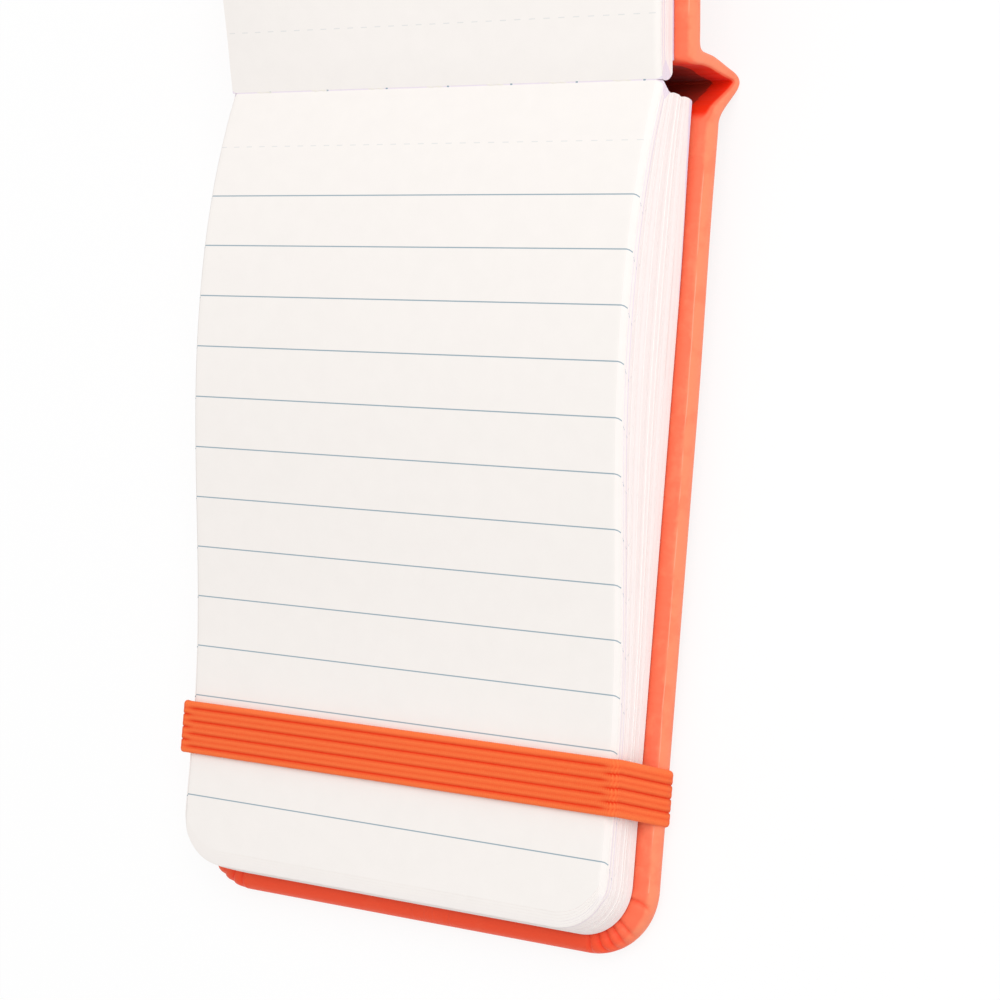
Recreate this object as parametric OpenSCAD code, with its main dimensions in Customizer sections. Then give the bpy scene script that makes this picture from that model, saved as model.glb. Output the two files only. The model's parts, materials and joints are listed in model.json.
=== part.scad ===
// Pocket journal, bound along its top edge, lying open on its back.
// X runs across the page, Y from the page's free end towards the turned half, Z up from the table.
// The lower half is drawn in a frame of its own: Y 0 at the backs of the lower leaves, Z 0 on the
// inner face of the back cover. The turned half is drawn in a second frame, whose X axis is the gutter.

/* [Leaves] */
// Width of a leaf
leaf_w = 90; // [80:1:100]
// Length of a leaf, from the sewn fold to its free end
leaf_l = 140; // [128:1:150]
// Radius of the two free corners of a leaf
leaf_corner_r = 9.5; // [5:0.5:13]
// Height of the lower leaves at the gutter
gutter_h = 11.7; // [11:0.1:13]
// Height of the lower leaves at the crest of their swell
crest_h = 17.2; // [15:0.1:20]
// Distance from the gutter to that crest
crest_at = 36; // [28:1:45]
// Height of the lower leaves where the band holds them down
nip_h = 9.3; // [8:0.1:11]
// Height of the lower leaves at their free end
free_h = 9.9; // [8:0.1:12]
// Thickness of the turned leaves
turned_t = 4.2; // [3.8:0.1:6]
// How far the back of a lower gathering is rounded
fold_round = 0.3; // [0.1:0.05:0.4]
// How far the back of the turned leaves is rounded
turned_round = 0.75; // [0.4:0.05:0.8]

/* [Covers] */
// Overhang of a cover past the sides of the leaves
side_overhang = 3; // [2.2:0.1:4]
// Overhang of the back cover past the free end of the leaves
end_overhang = 3.6; // [2.5:0.1:5]
// Thickness of a padded cover, whose edge is a full round
cover_t = 4.7; // [4.3:0.1:5.5]
// Radius of the two free corners of a cover
cover_corner_r = 12; // [9:0.5:15]
// Distance from the backs of the lower leaves to the hinge edge of the back cover
back_setback = 1.6; // [1.4:0.1:3]
// Distance from the gutter to the hinge edge of the front cover
front_setback = 3.2; // [3:0.1:4]
// Thickness of a cover board
board_t = 2; // [1.6:0.1:2.2]
// Thickness of the skin where it is turned in over the board
turn_in_t = 0.7; // [0.5:0.1:1]
// Width of the turned-in skin
turn_in_w = 12; // [9:0.5:13]
// Padding between the edge of the board and the edge of the cover
board_margin = 2.2; // [1.8:0.1:3]
// Thickness of one sheet of endpaper
endpaper_t = 0.3; // [0.2:0.05:0.4]
// Margin from the edge of the leaves to the edge of the pasted-down endpaper
endpaper_margin = 1.2; // [0.5:0.1:3]

/* [Pleats] */
// Number of pleats in the turn-in at each free corner of a cover
pleat_count = 6; // [4:1:8]
// Width of the crease between two pleats
pleat_w = 0.5; // [0.3:0.1:0.8]
// Depth of that crease
pleat_d = 0.35; // [0.2:0.05:0.5]
// Length of the creases on the flat inner face
pleat_reach = 4; // [2:0.5:6]

/* [Spine] */
// Thickness of the soft spine strip
spine_t = 2.6; // [2.2:0.1:3]
// Depth of the fold's ridge below the inner face of the back cover
ridge_depth = 10.2; // [9:0.1:12]
// Distance from the backs of the lower leaves to the middle of the ridge
ridge_y = 5.2; // [4:0.1:5.6]
// Distance from the backs of the lower leaves to the middle of the strip where it meets the front cover
upper_limb_y = 7.4; // [7:0.1:8]
// Thickness of the lining on the backs of the gatherings
lining_t = 0.4; // [0.3:0.05:0.6]

/* [Elastic band] */
// Width of the band
band_w = 9.2; // [7:0.1:11]
// Thickness of the band
band_t = 1.1; // [0.8:0.1:1.4]
// Number of ribs across the band
rib_count = 5; // [3:1:7]
// Depth of the grooves between the ribs
rib_depth = 0.28; // [0.1:0.02:0.35]
// Distance from the middle of the band to the free end of the leaves
band_from_end = 26; // [20:1:34]
// How much nearer to the free end the band is at its slits than over the page
band_slant = 2.3; // [0:0.1:4]
// Distance from the side edge of the cover to the slit that the band leaves by
slit_in = 17; // [15:0.5:22]
// Length of the band's glued end, under the endpaper
tab_l = 12; // [6:0.5:14]

/* [Sewing] */
// Diameter of the sewing thread
thread_d = 0.7; // [0.5:0.05:0.8]
// Length of a stitch that shows in the gutter
stitch_l = 7.5; // [5:0.5:9]
// Distance from one stitch to the next
stitch_pitch = 12.5; // [10:0.5:15]

/* [Opening] */
// Rise of the turned half, in degrees from the plane of the lower half
open_rise = 8.9; // [6:0.1:10]

/* [Hidden] */

cover_skin = "#fe7f52";
band_cloth = "#fd6f3a";
leaf_paper = "#f7f0ed";
flyleaf_paper = "#e4def0";
grey_board = "#b7ab9a";
white_linen = "#f1ece2";

clear = 0.05;               // gap between soft pieces that lie against each other
band_gap = 0.25;            // gap between the band and the leaves that it bends over
gutter_y = 1.8;             // the gutter lies this far beyond the backs of the lower leaves
lean_h = 3;                 // the top leaves' backs lean out to the gutter over this height
gatherings = 3;             // in the lower leaves
thread_room = 0.5;          // from the gutter to the leaves on each side of it
leaf_step = 4;              // spacing of the points along the lower leaves' curve
turned_rise = 0.5;          // the turned leaves stand this far above the gutter
turned_fan = 1.2;           // the lowest turned leaf starts this far beyond the gutter
rise_over = 6;              // over this distance from it
gutter_bend = 2.2;          // how sharply the lower leaves bend up out of the gutter
board_hinge_gap = 1.2;      // from a cover's hinge edge to the edge of its board

cover_w = leaf_w + 2 * side_overhang;
cover_l = leaf_l + end_overhang - back_setback;
edge_r = cover_t / 2;
base_h = 2 * endpaper_t;                  // the leaves lie on the pasted sheet and the flyleaf
nip_at = leaf_l - band_from_end;
slit_at = nip_at + band_slant;
front_drop = turned_t + base_h - turned_rise;   // from the gutter down to the front cover's inner face
panel_w = cover_w - 2 * (board_margin + turn_in_w);
slit_x = cover_w / 2 - slit_in;
limb_r = spine_t / 2;
ridge = [ridge_y, limb_r - ridge_depth];
limb_root = [limb_r - back_setback, limb_r - cover_t];
limb_top = [upper_limb_y, gutter_h - front_drop];

// The journal rests on the ridge of its spine and on the band under the back cover. It is tipped
// until both are level, and then moved so that the origin is under the middle of its box.
rib_w = band_w / rib_count;
rest_foot = [-slit_at - band_w / 2 + rib_w / 2, -cover_t - clear - band_t];
foot_to_ridge = ridge - rest_foot;
rest_tilt = asin(limb_r / norm(foot_to_ridge)) - atan2(foot_to_ridge[1], foot_to_ridge[0]);
function turn(p, a) = [p[0] * cos(a) - p[1] * sin(a), p[0] * sin(a) + p[1] * cos(a)];
back_end = turn([edge_r - back_setback - cover_l, -edge_r], rest_tilt);
front_end = turn([gutter_y, gutter_h] + turn([front_setback + cover_l - edge_r, -front_drop - edge_r],
                                             open_rise), rest_tilt);
rest_y = -(back_end[0] + front_end[0]) / 2;
rest_z = -turn(rest_foot, rest_tilt)[1];

module laid() {
    translate([0, rest_y, rest_z]) rotate([rest_tilt, 0, 0]) children();
}

module turned_half() {
    laid() translate([0, gutter_y, gutter_h]) rotate([open_rise, 0, 0]) children();
}

// A section drawn in Y and Z, run across the journal
module across(width) {
    rotate([90, 0, 90]) linear_extrude(width, center = true) children();
}

// Outline of a leaf, board or cover in plan: hinge edge on Y 0, rounded corners at its free end
module plan(w, l, r) {
    translate([-w / 2, -(l - r)]) square([w, l - r]);
    translate([-w / 2 + r, -l]) square([w - 2 * r, r + 0.01]);
    for (side = [-1, 1]) translate([side * (w / 2 - r), -(l - r)]) circle(r, $fn = 64);
}

module half_round(r) {
    intersection() {
        circle(r, $fn = 40);
        translate([0, -r]) square([r, 2 * r]);
    }
}

// A padded plate in the cover's frame: Z 0 on its inner face, its free edges a full round
module padded_plate() {
    translate([0, 0, -cover_t]) linear_extrude(cover_t)
        plan(cover_w - 2 * edge_r, cover_l - edge_r, cover_corner_r - edge_r);
    for (side = [0, 1]) mirror([side, 0, 0]) {
        translate([cover_w / 2 - edge_r, 0, -edge_r]) rotate([90, 0, 0])
            linear_extrude(cover_l - cover_corner_r) half_round(edge_r);
        translate([cover_w / 2 - cover_corner_r, cover_corner_r - cover_l, -edge_r]) rotate([0, 0, -90])
            rotate_extrude(angle = 90, $fn = 64) translate([cover_corner_r - edge_r, 0]) half_round(edge_r);
    }
    translate([0, edge_r - cover_l, -edge_r]) rotate([0, 0, -90]) rotate([90, 0, 0])
        linear_extrude(cover_w - 2 * cover_corner_r, center = true) half_round(edge_r);
}

// Section of one crease: over the flat inner face and round the padded edge
module crease_section() {
    translate([-pleat_reach, edge_r - pleat_d]) square([pleat_reach, pleat_d + 1]);
    intersection() {
        difference() {
            circle(edge_r + 1, $fn = 40);
            circle(edge_r - pleat_d, $fn = 40);
        }
        square(edge_r + 1);
    }
}

module pleat_creases() {
    for (side = [0, 1], i = [1 : pleat_count])
        mirror([side, 0, 0])
            translate([cover_w / 2 - cover_corner_r, cover_corner_r - cover_l, -edge_r])
            rotate([0, 0, -90 * i / (pleat_count + 1)])
            translate([cover_corner_r - edge_r, 0, 0])
            rotate([90, 0, 0]) linear_extrude(pleat_w, center = true) crease_section();
}

// The board is rebated round its rim, where the turned-in skin lies on it
module board() {
    translate([0, -board_hinge_gap, -turn_in_t - board_t]) linear_extrude(board_t)
        plan(cover_w - 2 * board_margin, cover_l - board_hinge_gap - board_margin,
             cover_corner_r - board_margin);
    panel_l = cover_l - board_hinge_gap - board_margin - 2 * turn_in_w;
    translate([-panel_w / 2, -board_hinge_gap - turn_in_w - panel_l, -turn_in_t - clear])
        cube([panel_w, panel_l, turn_in_t + clear]);
}

// Room for the band: the two slits, and the rebates for its glued ends
module band_room() {
    for (side = [0, 1]) mirror([side, 0, 0]) {
        translate([slit_x - band_t / 2 - clear, -slit_at - band_w / 2 - clear, -cover_t - 1])
            cube([band_t + 2 * clear, band_w + 2 * clear, cover_t + 2]);
        translate([slit_x - band_t / 2 - tab_l - clear, -slit_at - band_w / 2 - clear, -band_t - 2 * clear])
            cube([tab_l + clear, band_w + 2 * clear, band_t + 1]);
    }
}

module cover_wrap() {
    difference() {
        padded_plate();
        board();
        pleat_creases();
    }
}

// The pasted-down sheet, with the flyleaf lying on it
module endpaper(flyleaf_l) {
    sheet_l = flyleaf_l - 2 * endpaper_margin;
    sheet_r = leaf_corner_r - endpaper_margin;
    translate([0, -endpaper_margin, 0]) linear_extrude(endpaper_t)
        plan(leaf_w - 2 * endpaper_margin, sheet_l, sheet_r);
    translate([0, 0, endpaper_t]) linear_extrude(endpaper_t) plan(leaf_w, flyleaf_l, leaf_corner_r);
}

// Height of the top lower leaf at a distance s from the backs of the leaves
function swell(s) =
    s < crest_at ? gutter_h + (crest_h - gutter_h) * (1 - pow(1 - s / crest_at, gutter_bend))
    : s < nip_at ? nip_h + (crest_h - nip_h) * (1 + cos(180 * (s - crest_at) / (nip_at - crest_at))) / 2
    : nip_h + (free_h - nip_h) * (1 - cos(90 * (s - nip_at) / (leaf_l - nip_at)));

leaf_stations = [for (s = [leaf_step : leaf_step : leaf_l - 1]) s, leaf_l];
function layer_edge(share) = [for (s = leaf_stations) [-s, base_h + (swell(s) - base_h) * share]];
function sum(v, i = 0) = i < len(v) ? v[i] + sum(v, i + 1) : 0;
function reversed(v) = [for (i = [len(v) - 1 : -1 : 0]) v[i]];
top_edge = concat([[0, gutter_h]], layer_edge(1));
// The swollen top leaf is as long as the flat bottom one, so its free end draws back
draw_back = sum([for (i = [1 : len(top_edge) - 1])
    norm(top_edge[i] - top_edge[i - 1]) + top_edge[i][0] - top_edge[i - 1][0]]);

// The folded back of a gathering: shares of its height, and how round it is there
roll_shares = [0, 0.04, 0.12, 0.25, 0.4, 0.6, 0.75, 0.88, 0.96, 1];
function roll(t) = sqrt(1 - pow(2 * t - 1, 2));
lean = gutter_y - thread_room;
function lower_back(i, t) =
    let (z = base_h + (gutter_h - base_h) * (i + t) / gatherings)
    [fold_round * roll(t) + lean * max(0, 1 - (gutter_h - z) / lean_h), z];

module lower_gathering(i) {
    intersection() {
        across(leaf_w) polygon(concat([for (t = roll_shares) lower_back(i, t)],
                                      layer_edge((i + 1) / gatherings), reversed(layer_edge(i / gatherings))));
        translate([0, gutter_y, 0]) linear_extrude(2 * crest_h)
            plan(leaf_w, leaf_l + gutter_y - draw_back * (i + 1) / gatherings, leaf_corner_r);
    }
}

// Back edge and top of the turned leaves, in their own frame: the gutter is the origin
function turned_back(t) = [thread_room + (turned_fan - thread_room) * t * t
                           - turned_round * min(1, 4 * t) * roll(t),
                           -(front_drop - base_h) * t];
function turned_top(v) = turned_rise * (1 - pow(1 - min(v, rise_over) / rise_over, 2));
turned_stations = [1, 2, 3.5, rise_over];

module turned_gathering() {
    reach = leaf_l + turned_fan;
    intersection() {
        across(leaf_w) polygon(concat([for (t = roll_shares) turned_back(t)],
                                      [[reach, base_h - front_drop], [reach, turned_rise]],
                                      reversed([for (v = turned_stations) [v, turned_top(v)]])));
        translate([0, -turned_round, -front_drop]) mirror([0, 1, 0]) linear_extrude(2 * front_drop)
            plan(leaf_w, reach + turned_round, leaf_corner_r);
    }
}

module stitches() {
    count = floor((leaf_w - stitch_l) / stitch_pitch);
    for (i = [0 : count])
        translate([(i - count / 2) * stitch_pitch, gutter_y, gutter_h]) rotate([0, 90, 0])
            cylinder(d = thread_d, h = stitch_l, center = true, $fn = 16);
}

// A strip of constant thickness between two points of a section, with round ends
module limb(a, b, r) {
    for (p = [a, b]) translate(p) circle(r, $fn = 32);
    translate(a) rotate(atan2(b[1] - a[1], b[0] - a[0])) translate([0, -r]) square([norm(b - a), 2 * r]);
}

module lining_section() {
    r = lining_t / 2;
    gutter = [gutter_y, gutter_h];
    low = [fold_round + r + clear, base_h + 1];
    knee = [fold_round + r + clear, gutter_h - lean_h - r];
    below = base_h - front_drop - r - clear;
    under = gutter + turn([turned_fan, below], open_rise);
    far = gutter + turn([front_setback - 2 * r, below], open_rise);
    limb(low, knee, r);
    limb(knee, under, r);
    limb(under, far, r);
}

module spine_section() {
    difference() {
        union() {
            translate([-back_setback, -cover_t]) square([limb_r, spine_t]);
            limb(limb_root, ridge, limb_r);
            limb(ridge, limb_top, limb_r);
        }
        // The upper limb ends on the outer face of the front cover
        translate([gutter_y, gutter_h]) rotate(open_rise)
            translate([-cover_t, -front_drop - cover_t - clear]) square(4 * cover_t);
    }
}

// Middle line of the band, in X and Z: from its glued end, out of the slit, round the padded edge and
// the edge of the leaves, and over the page
function arc(c, r, a, b, n) = [for (i = [0 : n]) c + r * [cos(a + (b - a) * i / n), sin(a + (b - a) * i / n)]];
band_lift = band_t / 2 + clear;
corner_lift = band_t / 2 + band_gap;
edge_c = [cover_w / 2 - edge_r, -edge_r];
leaf_c = [leaf_w / 2, nip_h];
edge_to_leaf = leaf_c - edge_c;
pull = atan2(edge_to_leaf[1], edge_to_leaf[0]) - acos((edge_r + band_lift - corner_lift) / norm(edge_to_leaf));
half_path = concat(
    [[slit_x - tab_l, -band_lift], [slit_x, -band_lift], [slit_x, -cover_t - band_lift]],
    arc(edge_c, edge_r + band_lift, -90, pull, 8),
    arc(leaf_c, corner_lift, pull, 90, 5));
band_path = concat(half_path, reversed([for (p = half_path) [-p[0], p[1]]]));
function side_of(a, b) = [b[1] - a[1], a[0] - b[0]] / norm(b - a);
function outward(i) =
    i == 0 ? side_of(band_path[0], band_path[1])
    : i == len(band_path) - 1 ? side_of(band_path[i - 1], band_path[i])
    : let (m = side_of(band_path[i - 1], band_path[i]), n = side_of(band_path[i], band_path[i + 1]))
      (m + n) / (1 + m * n);
rib_points = 4;
rib_face = [for (i = [0 : rib_count * rib_points])
    [-band_w / 2 + i * rib_w / rib_points,
     band_t / 2 - rib_depth * (1 - abs(sin(180 * i / rib_points)))]];
band_section = concat(rib_face, [for (p = reversed(rib_face)) [p[0], -p[1]]]);

// Down the sides the band slants to its slits
function band_y(p) = p[1] < 0 && abs(p[0]) <= slit_x ? -slit_at
    : -nip_at - band_slant * min(1, max(0, (nip_h - p[1]) / (nip_h + cover_t)));

module ribbed_band() {
    n = len(band_section);
    rings = len(band_path);
    points = [for (i = [0 : rings - 1], s = band_section)
        let (p = band_path[i] + outward(i) * s[1]) [p[0], s[0] + band_y(band_path[i]), p[1]]];
    sides = [for (i = [0 : rings - 2], k = [0 : n - 1])
        [i * n + k, (i + 1) * n + k, (i + 1) * n + (k + 1) % n, i * n + (k + 1) % n]];
    end = [for (k = [0 : n / 2 - 2]) [k, k + 1, n - 2 - k, n - 1 - k]];
    far_end = [for (q = end) [for (k = reversed(q)) (rings - 1) * n + k]];
    polyhedron(points, concat(sides, end, far_end));
}

module on_back_cover() { laid() translate([0, -back_setback, 0]) children(); }
module on_front_cover() {
    turned_half() translate([0, front_setback, -front_drop]) mirror([0, 1, 0]) children();
}

module back_cover_board() {
    color(grey_board) difference() {
        on_back_cover() board();
        laid() band_room();
    }
}
module back_cover_wrap() {
    color(cover_skin) difference() {
        on_back_cover() cover_wrap();
        laid() band_room();
    }
}
module back_endpaper() { color(flyleaf_paper) laid() endpaper(leaf_l); }
module lower_leaves() {
    color(leaf_paper) laid() for (i = [0 : gatherings - 1]) lower_gathering(i);
}
module sewing_thread() { color(white_linen) laid() stitches(); }
module spine_lining() { color(white_linen) laid() across(leaf_w) lining_section(); }
module spine_wrap() { color(cover_skin) laid() across(cover_w) spine_section(); }
module elastic_band() { color(band_cloth) laid() ribbed_band(); }
module front_cover_board() { color(grey_board) on_front_cover() board(); }
module front_cover_wrap() { color(cover_skin) on_front_cover() cover_wrap(); }
module front_endpaper() {
    color(flyleaf_paper) on_front_cover() endpaper(leaf_l + turned_fan - front_setback);
}
module turned_leaves() { color(leaf_paper) turned_half() turned_gathering(); }

back_cover_board();
back_cover_wrap();
back_endpaper();
lower_leaves();
sewing_thread();
spine_lining();
spine_wrap();
elastic_band();
front_cover_board();
front_cover_wrap();
front_endpaper();
turned_leaves();
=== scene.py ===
"""Looks of the pocket journal: leatherette case, stacks of ruled leaves, sewing, linings and braided elastic.

Every piece is built in one of two frames. The back half's frame has Y 0 at the backs of the lower
leaves and Z 0 on the back cover's inner face. The front half's frame has its X axis on the gutter.
"""

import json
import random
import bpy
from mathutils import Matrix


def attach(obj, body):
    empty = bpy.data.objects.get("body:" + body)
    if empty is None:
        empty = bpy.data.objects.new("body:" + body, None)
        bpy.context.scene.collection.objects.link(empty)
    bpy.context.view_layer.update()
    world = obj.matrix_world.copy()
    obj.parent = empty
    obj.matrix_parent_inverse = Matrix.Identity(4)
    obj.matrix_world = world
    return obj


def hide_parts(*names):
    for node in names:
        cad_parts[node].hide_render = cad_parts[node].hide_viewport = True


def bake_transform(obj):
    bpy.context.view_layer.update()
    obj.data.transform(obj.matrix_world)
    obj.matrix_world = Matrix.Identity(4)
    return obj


bl_info = {
    "name": "Pocket journal",
    "version": (1, 0, 0),
    "blender": (4, 5, 0),
    "location": "View3D > Sidebar > Journal",
    "description": "Padded top-bound pocket journal, lying open with its elastic round the lower half",
    "category": "Add Mesh",
}

from bisect import bisect_right
from functools import partial
from math import acos, atan2, ceil, copysign, cos, degrees, exp, floor, hypot, pi, radians, sin, sqrt

import bmesh
import bpy
from bpy.props import FloatProperty, FloatVectorProperty, IntProperty, PointerProperty
from mathutils import Matrix, Vector, noise

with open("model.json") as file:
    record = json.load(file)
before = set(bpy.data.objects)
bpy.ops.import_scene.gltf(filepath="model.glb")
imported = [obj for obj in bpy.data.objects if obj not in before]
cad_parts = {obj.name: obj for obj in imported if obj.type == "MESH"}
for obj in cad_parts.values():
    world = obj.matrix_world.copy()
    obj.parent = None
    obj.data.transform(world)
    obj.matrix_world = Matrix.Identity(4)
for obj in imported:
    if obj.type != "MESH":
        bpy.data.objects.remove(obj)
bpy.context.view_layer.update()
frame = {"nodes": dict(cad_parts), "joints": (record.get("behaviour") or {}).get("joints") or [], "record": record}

MM = 0.001
RULES = 13  # on a page
SLIT_L, SLIT_PITCH = 1.24, 2.9  # mm, of the perforation's slits
HOLE_AT, HOLE_PITCH = 2.8, 13  # mm, of the needle holes in the gutter, from the page's middle
# The slits and the lavender lines drawn on the paper are painted shade, of the cuts and of the gaps between sheets
SLIT_SHARE, GAP_SHADE_SHARE = 0.22, 0.5  # how strongly the slits and the lavender lines show
ROLL_FROM, ROLL_TO = 1.15, 0.2  # mm from a leaf's side edge, where the top sheets roll over
ROLL_POWER = 14  # of a sheet's share of the stack's height, so that only the top sheets roll over
BACK, FRONT = "back_half", "front_half"
GUTTER = Vector(frame["joints"][0]["pos_m"])
REST_AXIS = Vector(frame["record"]["mounts"][0]["axis"])
TILT = atan2(REST_AXIS.y, -REST_AXIS.z)


def linear(code):
    """The linear RGBA of an sRGB hex colour."""
    parts = [int(code[i : i + 2], 16) / 255 for i in (1, 3, 5)]
    return [c / 12.92 if c <= 0.04045 else ((c + 0.055) / 1.055) ** 2.4 for c in parts] + [1.0]


def length(name, description, default_mm):
    """A size in metres, whose default is given in millimetres."""
    default = default_mm * MM
    return FloatProperty(name=name, description=description, default=default, unit="LENGTH", precision=5)


def colour(name, description, code):
    return FloatVectorProperty(
        name=name, description=description, default=linear(code), size=4, subtype="COLOR", min=0, max=1
    )


class LeafSettings(bpy.types.PropertyGroup):
    leaf_w: length("Leaf width", "Width of a leaf", 90)
    leaf_l: length("Leaf length", "From the fold to the free end", 140)
    corner_r: length("Corner radius", "Radius of the leaves' free corners", 9.5)
    gutter_y: length("Gutter", "From the leaves' backs to the gutter", 1.8)
    gutter_h: length("Gutter height", "Lower leaves at the gutter", 11.7)
    crest_h: length("Crest height", "Height of the swell of the lower leaves", 17.2)
    crest_at: length("Crest distance", "From the leaves' backs to the crest", 36)
    nip_h: length("Nip height", "Lower leaves under the band", 9.3)
    nip_at: length("Nip distance", "From the leaves' backs to the band", 114)
    free_h: length("Free height", "Lower leaves at their free end", 9.9)
    turned_t: length("Turned thickness", "Thickness of the turned leaves", 4.2)
    turned_rise: length("Turned rise", "Rise of the turned page over the gutter", 0.5)
    turned_fan: length("Turned fan", "From the gutter to the lowest turned leaf", 1.2)
    fold_round: length("Fold round", "Rounding of a gathering's back", 0.4)
    turned_round: length("Turned round", "Rounding of the turned leaves' back", 0.75)
    edge_droop: length("Edge droop", "Roll-over of the top sheets", 0.8)
    endpaper_t: length("Endpaper thickness", "Thickness of one sheet of endpaper", 0.3)
    endpaper_margin: length("Endpaper margin", "Around the pasted sheet", 1.2)
    flyleaf_lift: length("Flyleaf lift", "Rise of the flyleaf at the hinge", 0.87)
    rule_first: length("First rule", "From the gutter, along the page", 19.94)
    rule_pitch: length("Rule pitch", "Distance between rules", 9.1)
    rule_w: length("Rule width", "Width of a printed rule", 0.2)
    perforation_at: length("Perforation", "From the gutter, along the page", 10.7)
    open_rise: FloatProperty(
        name="Opening", description="Turn of the front half over the back half's plane",
        default=radians(8.9), unit="ROTATION",
    )
    lower_sheets: IntProperty(name="Lower sheets", description="Sheets drawn in the lower stack", default=34)
    turned_sheets: IntProperty(name="Turned sheets", description="Sheets drawn in the turned stack", default=12)
    paper: colour("Paper", "Uncoated book paper", "#f8f3ef")
    # Painted light: a lighter, pinker copy of the paper, painted on the faces that turn sideways, for the stronger
    # light and the case's pink light on the cut edges
    edge_painted_light: colour("Cut edge", "The trimmed edge of the same paper", "#fdf3f1")
    ink: colour("Rule ink", "Grey-blue ruling", "#93a9b5")
    # Its lavender is also painted on the paper, as the shade in the gaps between sheets
    flyleaf: colour("Flyleaf", "Lavender-tinted endpaper", "#e2d2ea")


class CaseSettings(bpy.types.PropertyGroup):
    cover_w: length("Cover width", "Width of a cover", 96)
    cover_l: length("Cover length", "Length of a cover", 142)
    cover_t: length("Cover thickness", "Thickness of a padded cover", 4.7)
    corner_r: length("Corner radius", "Radius of a cover's free corners", 12)
    back_setback: length("Back setback", "From the leaves' backs to the back cover", 1.6)
    front_setback: length("Front setback", "From the gutter to the front cover", 3.2)
    pad_bulge: length("Pad bulge", "Swell of the side edges, away from the spine", 0.35)
    pleat_d: length("Pleat depth", "Depth of a crease in the turn-in", 0.36)
    seam_h: length("Seam height", "Height of the turn-in's line on the edge", 0.09)
    skin: colour("Skin", "Coral leatherette", "#fe7350")
    # Painted light: this colour is painted on the outer half of each padded edge and on the outer faces, for the light
    # on the outer rim
    skin_painted_light: colour("Stretched skin", "Leatherette where the pad stretches it", "#ff9068")
    # Painted shade: this colour is painted on the end edges, which face away from the key light and lie in the leaves'
    # shadow
    skin_end_painted_shade: colour("Turned skin", "Leatherette turned round the free end", "#fb4a22")
    # Painted shade: this colour is painted in the corners' creases and inside the spine's fold, where shade falls
    skin_crease_painted_shade: colour("Creased skin", "Leatherette in its creases and inside the spine", "#fb3008")
    # Painted shade: this colour is painted inside the spine as far as the gatherings reach, for the shade of the
    # hollow under the leaves; it is no glue
    spine_hollow_painted_shade: colour("Glue", "Leatherette darkened by glue, inside the spine", "#aa2d19")
    seam: colour("Seam line", "Leatherette rubbed at the turn-in", "#ffb496")
    board: colour("Board", "Grey board", "#b7ab9a")


class BandSettings(bpy.types.PropertyGroup):
    band_w: length("Band width", "Width of the elastic", 9.2)
    band_t: length("Band thickness", "Thickness of the elastic", 1.1)
    slant: length("Band slant", "From the band's line on the page to its slits", 2.3)
    cords: IntProperty(name="Cords", description="Rubber cores across the elastic", default=8)
    groove_d: length("Groove depth", "Depth of the grooves between ribs", 0.26)
    groove_w: length("Groove width", "Half width of a groove", 0.2)
    strand: length("Strand pitch", "Between the braid's strands", 0.42)
    slit_in: length("Slit inset", "From the cover's side edge to the slit", 17)
    tab_l: length("Tab length", "Length of the glued end", 12)
    cloth: colour("Cloth", "Coral polyester braid", "#ff7c42")
    # Painted shade: this colour is painted down in the grooves between the ribs
    cloth_groove_painted_shade: colour("Cloth grooves", "Braid between the ribs", "#ea2e00")


class ThreadSettings(bpy.types.PropertyGroup):
    thread_d: length("Thread diameter", "Diameter of the sewing thread", 0.4)
    stitch_l: length("Stitch length", "Length of a stitch in the gutter", 7.5)
    stitch_pitch: length("Stitch pitch", "From one stitch to the next", 12.5)
    linen: colour("Thread", "Bleached linen", "#f1ece2")
    lining_w: length("Lining width", "Width of the lining", 86)
    lining_t: length("Lining thickness", "Thickness of the lining", 0.4)
    lining: colour("Lining", "Glued crepe paper", "#efe3da")


def settings(group):
    return getattr(bpy.context.scene, "journal_" + group)


def back_frame():
    """From the back half's frame to the row frame."""
    leaves = settings("leaves")
    to_gutter = Matrix.Translation((0, -leaves.gutter_y, -leaves.gutter_h))
    return Matrix.Translation(GUTTER) @ Matrix.Rotation(TILT, 4, "X") @ to_gutter


def front_frame():
    """From the front half's frame, whose X axis is the gutter, to the row frame."""
    turn = Matrix.Rotation(TILT + settings("leaves").open_rise, 4, "X")
    return Matrix.Translation(GUTTER) @ turn


def smoothstep(low, high, value):
    share = min(max((value - low) / (high - low), 0), 1)
    return share * share * (3 - 2 * share)


def spaced(low, high, cells):
    return [low + (high - low) * i / cells for i in range(cells + 1)]


def stations(*runs):
    """Values along a line, from (low, high, cells) runs that meet end to end."""
    found = [runs[0][0]]
    for low, high, cells in runs:
        found += spaced(low, high, cells)[1:]
    return found


def through(points, steps):
    """Points along a smooth curve through the given ones, with some steps between each two of them."""
    points = [Vector(p) for p in points]
    curve = []
    for i in range(len(points) - 1):
        before = points[max(i - 1, 0)]
        after = points[min(i + 2, len(points) - 1)]
        a, b = points[i], points[i + 1]
        for n in range(steps):
            t = n / steps
            curve.append(
                0.5 * (2 * a + (b - before) * t + (2 * before - 5 * a + 4 * b - after) * t**2
                       + (3 * a - before - 3 * b + after) * t**3)
            )
    return curve + [points[-1]]


def round_corner(u, v):
    """Bends the corner square's far sides into a quarter circle."""
    return u * sqrt(1 - v * v / 2), v * sqrt(1 - u * u / 2)


def lattice_box(cols, rows, layers):
    """A closed box of quads whose corners are whole numbers: 0 to cols, rows and layers."""
    bm = bmesh.new()
    bmesh.ops.create_cube(bm, size=1, matrix=Matrix.Translation((0.5, 0.5, 0.5)))
    for axis, cells in enumerate((cols, rows, layers)):
        run = [e for e in bm.edges if abs((e.verts[0].co - e.verts[1].co)[axis]) > 0.5]
        if cells > 1:
            bmesh.ops.subdivide_edges(bm, edges=run, cuts=cells - 1, use_grid_fill=True)
    bmesh.ops.scale(bm, vec=(cols, rows, layers), verts=bm.verts)
    return bm


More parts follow.
